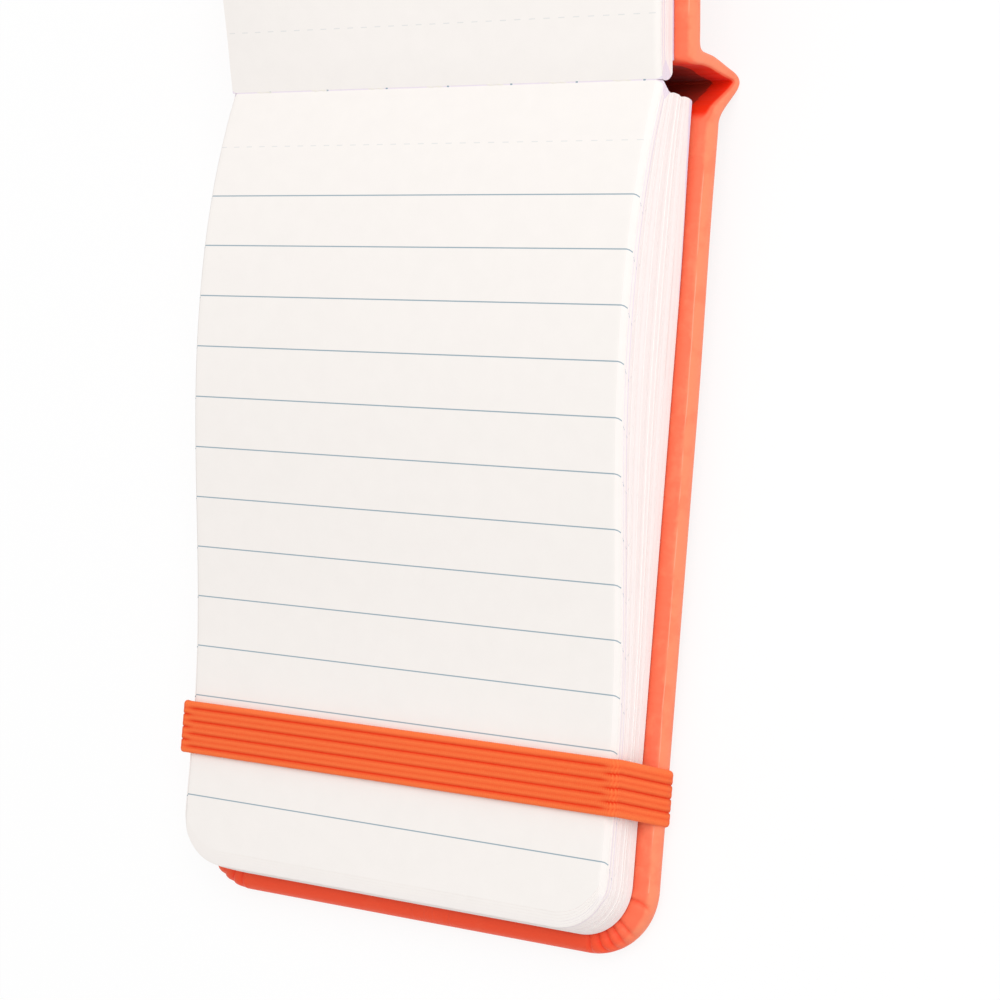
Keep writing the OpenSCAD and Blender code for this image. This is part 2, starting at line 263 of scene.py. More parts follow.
def keep(bm, name, material, place=None, sharp=38):
    """Turns a bmesh into an object at the origin, with its faces outwards and its sharp edges marked."""
    if place is not None:
        bmesh.ops.transform(bm, matrix=place, verts=bm.verts)
    bmesh.ops.recalc_face_normals(bm, faces=bm.faces)
    if bm.calc_volume(signed=True) < 0:
        bmesh.ops.reverse_faces(bm, faces=bm.faces)
    for face in bm.faces:
        face.smooth = True
    for edge in bm.edges:
        edge.smooth = len(edge.link_faces) == 2 and edge.calc_face_angle(0) < radians(sharp)
    mesh = bpy.data.meshes.new(name)
    bm.to_mesh(mesh)
    bm.free()
    made = bpy.data.objects.new(name, mesh)
    bpy.context.scene.collection.objects.link(made)
    mesh.materials.append(bpy.data.materials[material])
    return made


def add(tree, kind, inputs=(), **values):
    """Adds a node with its settings, and fills its inputs, in order or by name, with values or outputs."""
    made = tree.nodes.new("ShaderNode" + kind)
    for name, value in values.items():
        setattr(made, name, value)
    for name, value in inputs.items() if isinstance(inputs, dict) else enumerate(inputs):
        if isinstance(value, bpy.types.NodeSocket):
            tree.links.new(value, made.inputs[name])
        else:
            made.inputs[name].default_value = value
    return made.outputs[0] if made.outputs else made


def new_material(name):
    """Starts a material, and returns the function that adds nodes to it."""
    made = bpy.data.materials.new(name)
    made.use_nodes = True
    made.node_tree.nodes.clear()
    return partial(add, made.node_tree)


def per_mm(size_mm):
    """The texture scale at which one cell is this many millimetres."""
    return 1 / (size_mm * MM)


def leatherette():
    """PU-coated leatherette over foam: fine cast grain, satin, with a soft pale sheen at its rim."""
    look = settings("case")
    node = new_material("PU leatherette over foam")
    place = node("TexCoord").node.outputs["Object"]
    # Foam under the skin stretches it unevenly, in soft patches 2 to 5 mm across
    patches = node("TexNoise", {"Vector": place, "Scale": per_mm(4.5), "Detail": 3.0, "Roughness": 0.6})
    patch = node("MapRange", [patches, 0.38, 0.62, -0.3, 0.3])
    # Painted light: the outer half of each padded edge is painted lighter, for the light that catches the outer rim,
    # and the foam's patches are added on top
    outer_painted_light = node("Attribute", attribute_name="outer_painted_light").node.outputs["Fac"]
    patches_and_painted_light = node("Math", [outer_painted_light, patch], operation="ADD", use_clamp=True)
    tone = node("MixRGB", [patches_and_painted_light, look.skin, look.skin_painted_light])
    # Painted shade: the end edges, the creases and the inside of the spine are painted deeper red, and the inside of
    # the spine darker still as far as the gatherings reach, for the shade of the hollow; the line that the turn-in
    # leaves along the edge is a little paler
    layers = {"turned": look.skin_end_painted_shade, "crease": look.skin_crease_painted_shade, "glued": look.spine_hollow_painted_shade, "seam": look.seam}
    for name, tint in layers.items():
        share = node("Attribute", attribute_name=name).node.outputs["Fac"]
        tone = node("MixRGB", [share, tone, tint])
    # Cast grain: cells of about 0.45 mm, drawn a little coarser than the real 0.3 mm so that it shows
    cells = node("TexVoronoi", {"Vector": place, "Scale": per_mm(0.45)}, feature="SMOOTH_F1")
    # Soft wrinkles run across the padded edge, about 2 mm apart
    along = node("Attribute", attribute_name="edge_run").node.outputs["Vector"]
    wrinkles = node("TexNoise", {"Vector": along, "Scale": 1.0, "Detail": 2.0})
    fine = node("Bump", {"Strength": 0.25, "Distance": 0.06 * MM, "Height": cells})
    soft = node("Bump", {"Strength": 0.6, "Distance": 0.35 * MM, "Height": wrinkles, "Normal": fine})
    shader = node("BsdfPrincipled", {
        "Base Color": tone, "Normal": soft, "Roughness": 0.58, "IOR": 1.5, "Specular IOR Level": 0.3,
        "Sheen Weight": 0.12, "Sheen Roughness": 0.35, "Sheen Tint": linear("#ffc9cf"),
    })
    node("OutputMaterial", [shader])


def ruled_paper():
    """Uncoated 80 g book paper: matt, faintly fibrous, ruled in grey-blue and perforated by the gutter."""
    look = settings("leaves")
    node = new_material("Uncoated ruled book paper")
    page = node("Attribute", attribute_name="page").node.outputs["Vector"]
    across, down, depth = node("SeparateXYZ", [page]).node.outputs
    from_first = node("Math", [down, look.rule_first], operation="SUBTRACT")
    to_rule = node("Math", [from_first, look.rule_pitch / 2], operation="PINGPONG")
    half = look.rule_w / 2
    rule = node("MapRange", [to_rule, half * 0.6, half * 1.4, 1.0, 0.0])
    middle = RULES // 2 * look.rule_pitch
    ruled = node("Math", [from_first, middle, middle + look.rule_pitch / 2], operation="COMPARE")
    # On the fanned edges only every other sheet carries a visible tick, and the deeper ones none
    step = node("Math", [depth, 0.4 * MM], operation="PINGPONG")
    tick = node("Math", [step, 0.26 * MM], operation="GREATER_THAN")
    fade = node("MapRange", [depth, 0.5 * MM, 3.2 * MM, 0.85, 0.0])
    on_edge = node("Math", [tick, fade], operation="MULTIPLY")
    top = node("Math", [depth, 0.02 * MM], operation="LESS_THAN")
    shown = node("Math", [top, on_edge], operation="MAXIMUM")
    # Painted shade: the perforation's slits are drawn as faint dashes in the ink's grey
    dash = node("Math", [across, SLIT_PITCH / 2 * MM], operation="PINGPONG")
    dash = node("Math", [dash, SLIT_L / 2 * MM], operation="LESS_THAN")
    off = node("Math", [down, look.perforation_at, 0.08 * MM], operation="COMPARE")
    # Painted shade: the needle holes of the sewing are drawn in the gutter as small marks in the ink's grey
    hole = node("Math", [across, HOLE_AT * MM], operation="SUBTRACT")
    hole = node("Math", [hole, HOLE_PITCH / 2 * MM], operation="PINGPONG")
    hole = node("Math", [hole, 0.22 * MM], operation="LESS_THAN")
    by_gutter = node("Math", [down, 0.14 * MM], operation="LESS_THAN")
    marks = 0
    for mark, *limits in ((rule, ruled, shown), (dash, off, top, SLIT_SHARE), (hole, by_gutter)):
        for limit in limits:
            mark = node("Math", [mark, limit], operation="MULTIPLY")
        marks = node("Math", [marks, mark], operation="MAXIMUM")
    place = node("TexCoord").node.outputs["Object"]
    # Cloudy formation of the sheet, in flocs of 3 to 4 mm
    clouds = node("TexNoise", {"Vector": place, "Scale": per_mm(3.5), "Detail": 4.0})
    shade = node("MapRange", [clouds, 0.3, 0.7, 0.985, 1.0])
    # Painted light: faces that turn sideways are painted with the lighter, pinker edge colour
    facing = node("TexCoord").node.outputs["Normal"]
    upward = node("SeparateXYZ", [facing]).node.outputs["Z"]
    cut = node("MapRange", [upward, 0.3, 0.75, 1.0, 0.0])
    tint = node("MixRGB", [cut, look.paper, look.edge_painted_light])
    # Painted shade: faint lavender lines are painted between the top sheets, in the gutter and on the lowest sheets
    # over the lifted flyleaf, for the shade in the gaps
    line = node("Math", [depth, 0.42 * MM, 0.1 * MM], operation="COMPARE")
    second = node("Math", [depth, 1.2 * MM, 0.13 * MM], operation="COMPARE")
    gutter = node("Math", [down, 0.12 * MM], operation="LESS_THAN")
    low = node("Attribute", attribute_name="low").node.outputs["Fac"]
    steps = [(second, "ADD"), (cut, "MULTIPLY"), (gutter, "MAXIMUM"), (GAP_SHADE_SHARE, "MULTIPLY"), (low, "MAXIMUM")]
    for other, operation in steps:
        line = node("Math", [line, other], operation=operation)
    tint = node("MixRGB", [line, tint, look.flyleaf])
    sheet = node("VectorMath", {0: tint, 3: shade}, operation="SCALE")
    rules_and_hole_shade = node("MixRGB", [marks, sheet, look.ink])
    fibres = node("TexNoise", {"Vector": place, "Scale": per_mm(0.25), "Detail": 3.0})
    bump = node("Bump", {"Strength": 0.12, "Distance": 0.03 * MM, "Height": fibres})
    shader = node("BsdfPrincipled", {
        "Base Color": rules_and_hole_shade, "Normal": bump, "Roughness": 0.9, "IOR": 1.45, "Specular IOR Level": 0.2,
    })
    node("OutputMaterial", [shader])


def plain_fibrous(name, tint, grain_mm, depth_mm):
    """A matt fibrous sheet or thread: one colour, broken by grain of a given size."""
    node = new_material(name)
    place = node("TexCoord").node.outputs["Object"]
    grain = node("TexNoise", {"Vector": place, "Scale": per_mm(grain_mm), "Detail": 3.0})
    shade = node("MapRange", [grain, 0.3, 0.7, 0.93, 1.0])
    toned = node("VectorMath", {0: tint[:3], 3: shade}, operation="SCALE")
    bump = node("Bump", {"Strength": 0.3, "Distance": depth_mm * MM, "Height": grain})
    shader = node("BsdfPrincipled", {
        "Base Color": toned, "Normal": bump, "Roughness": 0.9, "Specular IOR Level": 0.2,
    })
    node("OutputMaterial", [shader])


def braided_elastic():
    """Braided polyester over rubber cores: matt, with a soft sheen, and painted shade down between the ribs."""
    look = settings("band")
    node = new_material("Braided polyester elastic")
    # Painted shade: the crease attribute paints the grooves between the ribs darker, with the braid's strands running
    # through it
    groove = node("Attribute", attribute_name="crease").node.outputs["Fac"]
    place = node("TexCoord").node.outputs["Object"]
    # Fibres of the yarn, about 0.2 mm across as drawn
    fibres = node("TexNoise", {"Vector": place, "Scale": per_mm(0.2), "Detail": 2.0})
    mixed = node("MapRange", [fibres, 0.3, 0.7, -0.1, 0.1])
    share = node("Math", [groove, mixed], operation="ADD", use_clamp=True)
    toned = node("MixRGB", [share, look.cloth, look.cloth_groove_painted_shade])
    bump = node("Bump", {"Strength": 0.3, "Distance": 0.05 * MM, "Height": fibres})
    shader = node("BsdfPrincipled", {
        "Base Color": toned, "Normal": bump, "Roughness": 0.8, "IOR": 1.5, "Specular IOR Level": 0.2,
        "Sheen Weight": 0.08, "Sheen Roughness": 0.5, "Sheen Tint": linear("#ffc9b4"),
    })
    node("OutputMaterial", [shader])


# Section of the soft spine and the covers' hinge edges, in the back half's Y and Z, in millimetres:
# the inside of the fold and its outside, station by station from the back cover to the front cover
FOLD_INSIDE = [
    (-6, 0), (-3.4, 0), (-1.9, -0.2), (-0.6, -1.0), (0.5, -2.2), (1.6, -3.7), (2.7, -5.2), (3.7, -6.5),
    (4.5, -7.4), (4.95, -7.75), (5.2, -7.1), (5.25, -5.8), (5.3, -4.2), (5.5, -2.0), (5.75, 0.5),
    (5.65, 3.2), (5.35, 5.4), (5.35, 7.0), (5.95, 7.95), (7.4, 8.25), (9.02, 8.49),
]
FOLD_OUTSIDE = [
    (-6, -4.7), (-4.2, -4.7), (-2.8, -4.6), (-1.5, -4.95), (-0.2, -5.9), (1.1, -7.1), (2.3, -8.25), (3.4, -9.3),
    (4.4, -10.0), (5.3, -10.2), (6.2, -9.7), (6.8, -8.2), (7.2, -5.6), (7.7, -2.8), (8.05, -0.6),
    (8.15, 1.2), (8.3, 2.7), (8.95, 3.65), (10.0, 3.95), (10.9, 4.08), (11.73, 4.16),
]
FOLD_STEPS = 5
FOLD_TUCKED = (2, 17)  # the stations between which the inside of the fold is tucked away from the light
# Angles round a padded edge, in degrees, from the inner face to the outer one, closest at the seam line
EDGE_ANGLES = [
    90, 84, 77, 70, 63, 57, 52, 49.6, 47.8, 46, 44.2, 42.4, 40, 35, 28, 19, 9, 0, -12, -25, -40, -56, -73, -90,
]
SEAM_ANGLE = 46
# Half width within which the inside of the spine is painted darker, as the shade of the hollow under the leaves
HOLLOW_SHADE_HALF_W = 43.6  # mm
BULGE_FROM, BULGE_TO = 8, 45  # mm from the hinge edges, where the foam's swell starts and is full
RIM_POWER, TUCKED_POWER, UNDER_POWER = 2, 4, 2.6  # how square the edge is: above, in the fold and below
# Creases of the turn-in at each free corner: degrees from the side edge towards the end edge, on the
# inner face and at mid height, and how deep the crease is
PLEATS = {
    (1, 0): [(10.4, 19, 0.9), (39.7, 43.5, 0.75), (51.2, 53, 1), (61.8, 60.4, 0.9), (73, 68.3, 1), (84.5, 85, 0.7)],
    (-1, 0): [(7, 15, 0.8), (31, 35, 0.9), (46, 48, 1), (59, 58, 0.8), (71, 68, 1), (83, 82, 0.8)],
    (1, 1): [(12, 18, 0.8), (29, 33, 0.9), (44, 47, 1), (57, 57, 0.9), (70, 67, 1), (82, 81, 0.7)],
    (-1, 1): [(8, 14, 0.9), (25, 30, 0.8), (41, 44, 1), (55, 55, 1), (68, 66, 0.9), (84, 83, 0.8)],
}


def front_drop():
    """From the gutter down to the front cover's inner face."""
    leaves = settings("leaves")
    return leaves.turned_t + 2 * leaves.endpaper_t - leaves.turned_rise


def case_rails():
    """Rows of (distance along, inside point, outside point) of the case, from the back cover's free end."""
    case, leaves = settings("case"), settings("leaves")
    edge_r = case.cover_t / 2
    inside = [p * MM for p in through(FOLD_INSIDE, FOLD_STEPS)]
    outside = [p * MM for p in through(FOLD_OUTSIDE, FOLD_STEPS)]
    free = edge_r - case.back_setback - case.cover_l
    turn = Matrix.Rotation(leaves.open_rise, 2)
    gutter = Vector((leaves.gutter_y, leaves.gutter_h))
    far = case.front_setback + case.cover_l - edge_r
    inside = [Vector((free, 0))] + inside + [gutter + turn @ Vector((far, -front_drop()))]
    outside = [Vector((free, -case.cover_t))] + outside
    outside += [gutter + turn @ Vector((far, -front_drop() - case.cover_t))]
    rails, run, last = [], 0, None
    for a, b in zip(inside, outside):
        middle = (a + b) / 2
        run += (middle - last).length if last else 0
        last = middle
        rails.append((run, a, b))
    return rails


def section_at(rails, runs, along):
    """Inside and outside points at a distance along the case. Its ends run on straight."""
    place = min(max(bisect_right(runs, along), 1), len(rails) - 1)
    (a, in_a, out_a), (b, in_b, out_b) = rails[place - 1], rails[place]
    share = (along - a) / (b - a)
    return in_a + (in_b - in_a) * share, out_a + (out_b - out_a) * share


def pleat(angle, lift, creases):
    """At an angle round the corner and a height on the edge: the dent of a crease, the painted shade along its line,
    the swell.
    """
    down = min(max(1 - lift, 0), 1.4)
    offs = [(abs(angle - a - (b - a) * down), deep) for a, b, deep in creases]
    nearest, deep = min(offs)
    dent = deep * exp(-((nearest / 2.1) ** 2))
    line = deep * exp(-((nearest / 1.25) ** 2))
    return dent, line, smoothstep(0.5, 4.5, nearest) * smoothstep(22, 7, nearest)


def rounded(angle, power):
    """Cosine and sine of an angle, pushed out towards a square for a power over 2."""
    c, s = cos(radians(angle)), sin(radians(angle))
    return abs(c) ** (2 / power), copysign(abs(s) ** (2 / power), s)


class JOURNAL_OT_case(bpy.types.Operator):
    """Builds the padded leatherette case: both covers and the soft spine folded between them"""

    bl_idname = "journal.case"
    bl_label = "Case"

    def execute(self, context):
        case = settings("case")
        edge_r = case.cover_t / 2
        flat_r = case.corner_r - edge_r
        rails = case_rails()
        runs = [r[0] for r in rails]
        total = runs[-1]
        fold_from, fold_to = runs[1], runs[-2]
        tuck_from, tuck_to = (runs[1 + FOLD_STEPS * n] for n in FOLD_TUCKED)
        corner_cells, middle_cells, body_cells = 36, 8, 76
        rows = stations(
            (0, flat_r, corner_cells), (flat_r, fold_from, body_cells),
            (fold_from, fold_to, len(rails) - 3), (fold_to, total - flat_r, body_cells),
            (total - flat_r, total, corner_cells),
        )
        fold_row = corner_cells + body_cells
        for i in range(len(rails) - 2):
            rows[fold_row + i] = runs[i + 1]
        cols, last_row, layers = 2 * corner_cells + middle_cells, len(rows) - 1, len(EDGE_ANGLES) - 1
        bm = lattice_box(cols, last_row, layers)
        names = ("crease", "outer_painted_light", "turned", "seam", "glued")
        fields = {name: bm.verts.layers.float.new(name) for name in names}
        edge_run = bm.verts.layers.float_vector.new("edge_run")
        for v in bm.verts:
            i, j, k = (round(c) for c in v.co)
            along = rows[j]
            inside, outside = section_at(rails, runs, along)
            rim = min(edge_r, (inside - outside).length / 2)
            from_hinge = max(fold_from - along, along - fold_to)
            half_w = case.cover_w / 2 - rim
            half_w += case.pad_bulge * smoothstep(BULGE_FROM * MM, BULGE_TO * MM, from_hinge)
            from_side, from_end = min(i, cols - i), min(j, last_row - j)
            side = 1 if 2 * i > cols else -1
            end = 1 if 2 * j > last_row else -1
            u = max(1 - from_side / corner_cells, 0)
            w = max(1 - from_end / corner_cells, 0)
            bent_u, bent_w = round_corner(u, w)
            if u == 0:
                x = (half_w - flat_r) * (2 * i - cols) / middle_cells
            else:
                x = side * (half_w - flat_r + flat_r * bent_u)
            if w > 0:
                along = (flat_r if end < 0 else total - flat_r) + end * flat_r * (bent_w if u > 0 else w)
            on_rim = from_side == 0 or from_end == 0
            in_corner = u > 0 and w > 0
            if in_corner:
                out = Vector((bent_u, bent_w)).normalized()
                turn = degrees(atan2(out.y, out.x))
                out = Vector((side * out.x, end * out.y))
            else:
                out = Vector((side, 0)) if from_side == 0 else Vector((0, end))
            in_fold = fold_from < along < fold_to
            tucked = smoothstep(tuck_from - 1.2 * MM, tuck_from + 0.6 * MM, along)
            tucked *= smoothstep(tuck_to + 1.2 * MM, tuck_to - 0.6 * MM, along)
            angle = EDGE_ANGLES[layers - k]
            seam = 0
            if on_rim and not in_corner and from_side == 0 and not in_fold:
                here = Vector((along / (9 * MM), side * 5.0, 0))
                near_seam = exp(-(((angle - SEAM_ANGLE) / 9) ** 2))
                seam = exp(-(((angle - SEAM_ANGLE) / 1.7) ** 2)) * smoothstep(1 * MM, 3 * MM, from_hinge)
                seam *= smoothstep(-0.3, 0.0, noise.noise(here * 2.3 + Vector((3, 0, 0))))
                angle += 3.5 * noise.noise(here) * near_seam
            spread, lift = 0, 1 if k == layers else -1
            if on_rim:
                power = RIM_POWER + (TUCKED_POWER - RIM_POWER) * tucked if angle > 0 else UNDER_POWER
                spread, lift = rounded(angle, power)
                spread *= rim
            dent = -case.seam_h * seam
            line = 0
            if in_corner:
                cut, line, swell_out = pleat(turn, lift, PLEATS[(side, int(end > 0))])
                ends = smoothstep(0, 0.1, w) * smoothstep(0.05, 0.8, lift)
                ends *= smoothstep(0.45, 0.8, hypot(bent_u, bent_w))
                dent = ends * case.pleat_d * (cut - 0.35 * swell_out * smoothstep(0, 0.1, u))
                line *= ends
            outward = rounded(angle, 2) if on_rim else (0, lift)
            spread -= dent * outward[0]
            inside, outside = section_at(rails, runs, along + out.y * spread)
            thick = inside - outside
            middle = (inside + outside) / 2
            point = middle + thick.normalized() * (lift * thick.length / 2 - dent * outward[1])
            v.co = (x + out.x * spread, point.x, point.y)
            on_inner = smoothstep(0.93, 0.99, lift) if on_rim else float(k == layers)
            # Painted shade: the inside of the spine's fold and the lines of the corner creases are painted darker
            v[fields["crease"]] = min(max(tucked * on_inner, 0.5 * line, 0), 1)
            # Painted shade: within that width the inside of the spine is painted darker still, for the shade of the
            # hollow under the leaves
            v[fields["glued"]] = tucked * on_inner if abs(x) < HOLLOW_SHADE_HALF_W * MM and not on_rim else 0
            # Painted light: the outer half of the edge and the outer face are painted lighter
            v[fields["outer_painted_light"]] = smoothstep(0.9, 0.6, lift) if on_rim else float(k == 0)
            # Painted shade: the end edges are painted deeper red, for the shade that falls on them
            at_end = smoothstep(0.35, 1, w) if u == 0 or not in_corner else smoothstep(25, 75, turn)
            v[fields["turned"]] = 0.85 * at_end * smoothstep(-0.9, 0.2, lift)
            v[fields["seam"]] = 0.8 * seam
            v[edge_run] = Vector((along / (1.6 * MM), lift * 0.6, side * 7 + end))
        made = keep(bm, "leatherette_case", "PU leatherette over foam", back_frame())
        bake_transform(made)
        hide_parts("back_cover_wrap", "front_cover_wrap", "spine_wrap")
        return {"FINISHED"}


def swell(s):
    """Height of the top lower leaf at a distance from the leaves' backs."""
    leaves = settings("leaves")
    if s < leaves.crest_at:
        share = 1 - (1 - max(s + leaves.gutter_y, 0) / (leaves.crest_at + leaves.gutter_y)) ** 2.2
        return leaves.gutter_h + (leaves.crest_h - leaves.gutter_h) * share
    if s < leaves.nip_at:
        share = (s - leaves.crest_at) / (leaves.nip_at - leaves.crest_at)
        return leaves.nip_h + (leaves.crest_h - leaves.nip_h) * (1 + cos(pi * share)) / 2
    share = (s - leaves.nip_at) / (leaves.leaf_l - leaves.nip_at)
    return leaves.nip_h + (leaves.free_h - leaves.nip_h) * (1 - cos(pi / 2 * share))


def arc_table(height, low, high, cells=280):
    """Distances along a page's curve, at equal steps of its flat length."""
    table = [0]
    step = (high - low) / cells
    for n in range(cells):
        rise = height(low + step * (n + 1)) - height(low + step * n)
        table.append(table[-1] + hypot(step, rise))

    def arc(s):
        place = min(max((s - low) / step, 0), cells - 0.001)
        n = int(place)
        return table[n] + (table[n + 1] - table[n]) * (place - n)

    return arc


# How far the top sheets stand in at the sides and draw back at the free end, from the top one, in mm
FANNED = [(0.22, 2.2), (0.17, 1.75), (0.13, 1.3), (0.09, 0.85), (0.05, 0.45), (0.02, 0.15)]
FANNED_SHARE = 0.012  # of the stack's height, for each of them
# Down the cut edges a rule's ticks first run towards the free end and then back: depth and shift, in mm
TICKS = [(0, 0.3), (0.4, 1.65), (1.4, 3.2), (3.0, 0.7), (20, -4)]


def edge_profile(sheets, seed, spread):
    """Levels of a stack's cut edge, from bottom to top: share of its height, inset and draw-back.

    The lowest sheets spread by some millimetres.
    """
    dice = random.Random(seed)
    body = 1 - FANNED_SHARE * len(FANNED)
    bounds = spaced(0, body, sheets) + [body + FANNED_SHARE * (n + 1) for n in range(len(FANNED))]
    levels = []
    for n, (low, high) in enumerate(zip(bounds, bounds[1:])):
        inset, drawn = dice.uniform(0, 0.1) - spread * (1 - low) ** 0.5, 0
        if n >= sheets:
            inset, drawn = FANNED[sheets + len(FANNED) - 1 - n]
        sheet = high - low
        levels += [(low + 0.07 * sheet, inset * MM, drawn * MM), (high - 0.07 * sheet, inset * MM, drawn * MM)]
        if n < sheets and n % 4 == 2:
            levels.append((high, (inset + 0.15) * MM, drawn * MM))
    return [(0, *levels[0][1:])] + levels[1:-1] + [(1, *levels[-1][1:])]


def ticks(depth):
    """How far down the page a rule's end lies on the cut edge, at a depth below the top sheet."""
    depth /= MM
    for (a, shift_a), (b, shift_b) in zip(TICKS, TICKS[1:]):
        if depth < b:
            return (shift_a + (shift_b - shift_a) * (depth - a) / (b - a)) * MM
    return 0


def leaf_stack(name, material, place, profile, height, back, stop_at, lift=None):
    """A stack of sheets as one closed mesh, in a frame of x, the distance s from the sewn edge, and z.

    profile lists the levels of its cut edges, height(s, x, share) gives a level's height, and back and
    stop_at where a level starts and ends. Where lift(s) raises the stack, its lowest sheets are painted lavender, as
    painted shade of the gap over the lifted flyleaf.
    """
    leaves = settings("leaves")
    corner_cells, middle_cells = 16, 20
    r, half_w, reach = leaves.corner_r, leaves.leaf_w / 2, leaves.leaf_l
    rows = stations((0, 3 * MM, 9), (3 * MM, 12 * MM, 10), (12 * MM, reach - r, 66), (reach - r, reach, corner_cells))
    last_row, cols, layers = len(rows) - 1, 2 * corner_cells + middle_cells, len(profile) - 1
    bm = lattice_box(cols, last_row, layers)
    page = bm.verts.layers.float_vector.new("page")
    low = bm.verts.layers.float.new("low")
    arc = arc_table(lambda s: height(s, 0, 1), back(1), reach)
    for v in bm.verts:
        i, j, k = (round(c) for c in v.co)
        share, inset, drawn = profile[k]
        from_side, side = min(i, cols - i), 1 if 2 * i > cols else -1
        # The cells narrow towards the edges, where the top sheets roll over
        u = max(1 - (from_side / corner_cells) ** 1.5, 0)
        w = max(1 - ((last_row - j) / corner_cells) ** 1.5, 0)
        bent_u, bent_w = round_corner(u, w)
        x = side * (half_w - r + r * bent_u) if u > 0 else (half_w - r) * (2 * i - cols) / middle_cells
        x *= 1 - inset / half_w
        flat = reach - r + r * bent_w if w > 0 else rows[j]
        start, stop = back(share), stop_at(share) - inset - drawn
        s = start + (stop - start) * flat / reach
        z = height(s, x, share)
        on_edge = k < layers and (from_side == 0 or j in (0, last_row))
        depth = max(height(s, x, 1) - z, 0) if on_edge else 0
        shift = ticks(depth) if depth > 0 else 0.5 * MM * smoothstep(half_w - 0.9 * MM, half_w, abs(x))
        v[page] = (x, arc(s) - shift, depth)
        # Painted shade: the lowest sheets over the lifted flyleaf are marked to be painted lavender, for the shade in
        # the gap
        if lift and lift(s) > 0:
            v[low] = 0.8 * smoothstep(1.0, 0.6, (z - height(s, x, 0)) / lift(s))
        v.co = (x, s, z)
    return keep(bm, name, material, place, sharp=30)


def levels_of_two_sheets():
    """The pasted sheet, narrower by its margin, with the flyleaf on it."""
    margin = settings("leaves").endpaper_margin
    return [(0, margin, 0), (1 / 3, margin, 0), (1 / 3 + 0.01, 0, 0), (1, 0, 0)]


class JOURNAL_OT_leaves(bpy.types.Operator):
    """Builds the two stacks of ruled leaves, each on its endpaper and flyleaf"""

    bl_idname = "journal.leaves"
    bl_label = "Leaves and endpapers"

    def execute(self, context):
        leaves, case = settings("leaves"), settings("case")
        folds, lean_h = 3, 3 * MM
        paper = 2 * leaves.endpaper_t
        half_w = leaves.leaf_w / 2

        def lifted(s):
            return leaves.flyleaf_lift * smoothstep(33 * MM, 0, s)

        def rolled(x, share):
            """How far a sheet rolls over towards a side edge."""
            near_edge = smoothstep(half_w - ROLL_FROM * MM, half_w - ROLL_TO * MM, x)
            return leaves.edge_droop * near_edge * share**ROLL_POWER

        def lower_height(s, x, share):
            low = paper + lifted(s)
            return low + (swell(s) - low) * share - rolled(abs(x), share)

        def lower_back(share):
            """The gatherings' folded backs are soft rolls, and the top leaves lean out to the gutter."""
            part = share * folds % 1
            roll = sqrt(1 - (2 * part - 1) ** 2)
            height = paper + (leaves.gutter_h - paper) * share
            lean = max(0, 1 - (leaves.gutter_h - height) / lean_h)
            return -(leaves.fold_round * roll * (1 - 0.5 * lean) + leaves.gutter_y * lean)

        flip = back_frame() @ Matrix.Scale(-1, 4, (0, 1, 0))
        lower = leaf_stack(
            "lower_leaf_stack", "Uncoated ruled book paper", flip, edge_profile(leaves.lower_sheets, 11, 0.3),
            lower_height, lower_back, lambda share: leaves.leaf_l - 1.9 * MM * share, lifted,
        )

        def back_paper_height(s, x, share):
            if share <= 1 / 3:
                return 3 * share * leaves.endpaper_t
            return leaves.endpaper_t * (1 + (share - 1 / 3) * 1.5) + lifted(s)

        back_paper = leaf_stack(
            "back_endpaper_sheets", "Lavender endpaper", flip, levels_of_two_sheets(), back_paper_height,
            lambda share: leaves.endpaper_margin if share <= 1 / 3 else 0, lambda share: leaves.leaf_l,
        )

        cover_face = -front_drop()

        def turned_height(s, x, share):
            rise = leaves.turned_rise * (1 - (1 - min(max(s, 0), 6 * MM) / (6 * MM)) ** 2)
            curl = 2.6 * MM * smoothstep(0, 26 * MM, s) * smoothstep(150 * MM, 70 * MM, s)
            high = rise + curl * smoothstep(5 * MM, -45 * MM, x) ** 1.5
            low = cover_face + paper
            return low + (high - low) * share - 0.5 * rolled(x, share)

        def turned_back(share):
            """The turned gathering's back is one soft roll, drawn in under the page that it hangs from."""
            t = 1 - share
            roll = sqrt(1 - (2 * t - 1) ** 2)
            return (0.5 * min(1, 6 * t) + 0.7 * t * t) * MM - leaves.turned_round * min(1, 4 * t) * roll

        turned = leaf_stack(
            "turned_leaf_stack", "Uncoated ruled book paper", front_frame(), edge_profile(leaves.turned_sheets, 12, 0),
            turned_height, turned_back, lambda share: leaves.leaf_l + leaves.turned_fan * (1 - share),
        )

        front_paper = leaf_stack(
            "front_endpaper_sheets", "Lavender endpaper", front_frame(), levels_of_two_sheets(),
            lambda s, x, share: cover_face + paper * share * (0.5 if share <= 0 else 1),
            lambda share: case.front_setback + (leaves.endpaper_margin if share <= 1 / 3 else 0),
            lambda share: leaves.leaf_l + leaves.turned_fan,
        )
        for made, cad_node, slot, body in (
            (lower, "lower_leaves", "ruled_paper", BACK), (back_paper, "back_endpaper", "endpaper", BACK),
            (turned, "turned_leaves", "ruled_paper", FRONT), (front_paper, "front_endpaper", "endpaper", FRONT),
        ):
            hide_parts(cad_node)
            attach(made, body)
        return {"FINISHED"}


def arc_points(centre, r, start, stop, cells):
    return [
        centre + r * Vector((cos(radians(a)), sin(radians(a))))
        for a in spaced(start, stop, cells)
    ]


